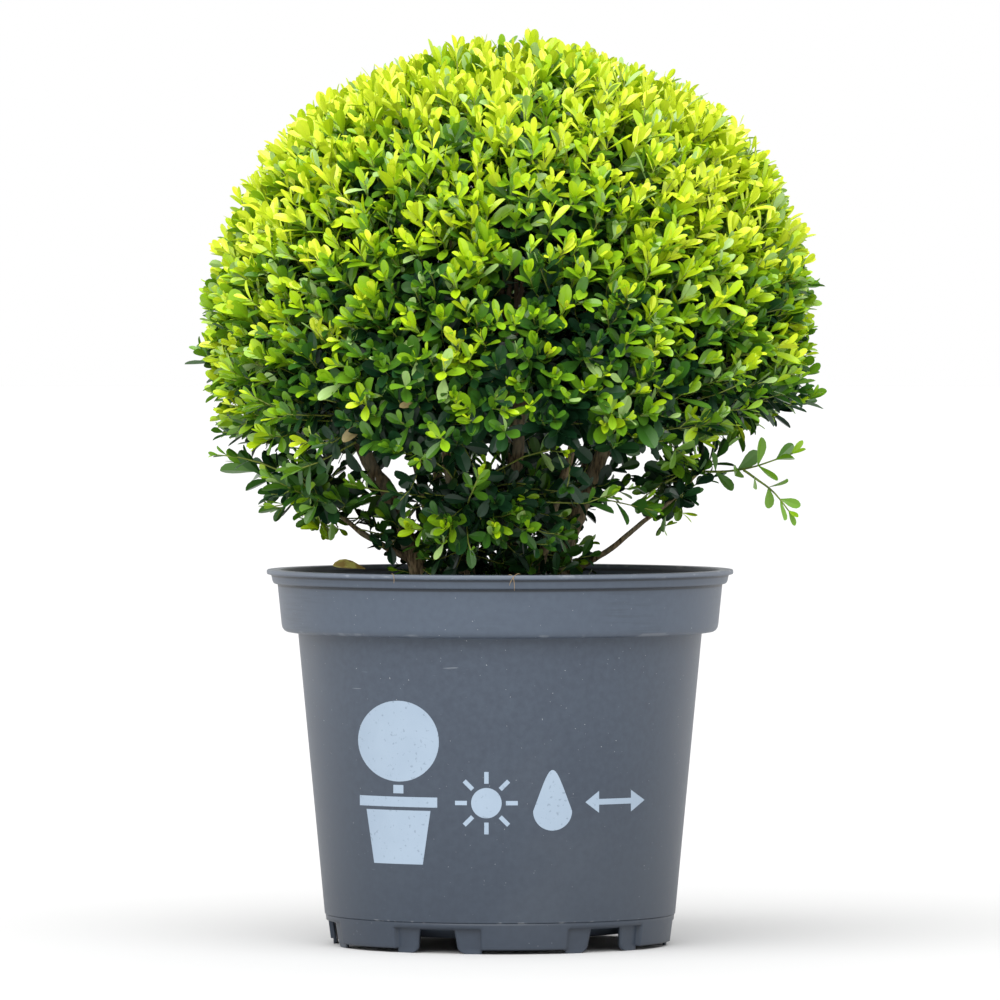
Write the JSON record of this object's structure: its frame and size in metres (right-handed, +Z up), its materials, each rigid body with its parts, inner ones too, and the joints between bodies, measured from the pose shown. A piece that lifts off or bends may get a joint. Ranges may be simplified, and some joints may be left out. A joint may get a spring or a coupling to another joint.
{
  "type": "potted box topiary ball",
  "caption": "Clipped evergreen box ball on a clump of woody stems, with loose low sprays, growing in a round plastic nursery pot.",
  "frame": {"origin": "on the floor, under the middle of the pot", "axes": "+Z up along the pot's axis; -Y towards the front; +X to the right seen from the front"},
  "size_m": [0.37, 0.37, 0.547],
  "materials": {
    "pot_plastic": "blue-grey moulded polypropylene with fine mottling, dust and scuffs",
    "potting_mix": "dark crumbly peat with bits of bark",
    "bark": "grey-brown finely furrowed bark",
    "young_leaf": "glossy yellow-green new growth",
    "old_leaf": "glossy dark green older leaves"
  },
  "bodies": {
    "root": {"pot": "pot_plastic", "potting_mix": "potting_mix", "stem_left": "bark", "stem_inner_left": "bark", "stem_front_left": "bark", "stem_middle": "bark", "stem_front_right": "bark", "stem_right": "bark", "stem_back_right": "bark", "stem_back": "bark", "stem_back_left": "bark", "low_bough_left": "bark", "low_bough_right": "bark", "low_bough_front": "bark", "low_bough_back": "bark", "sprig_twig": "bark", "sprig_fork": "bark", "foliage_ball": "young_leaf", "loose_foliage_left": "old_leaf", "loose_foliage_right": "old_leaf", "loose_foliage_front": "old_leaf", "loose_foliage_back": "old_leaf", "sprig_foliage": "old_leaf"}
  },
  "joints": []
}
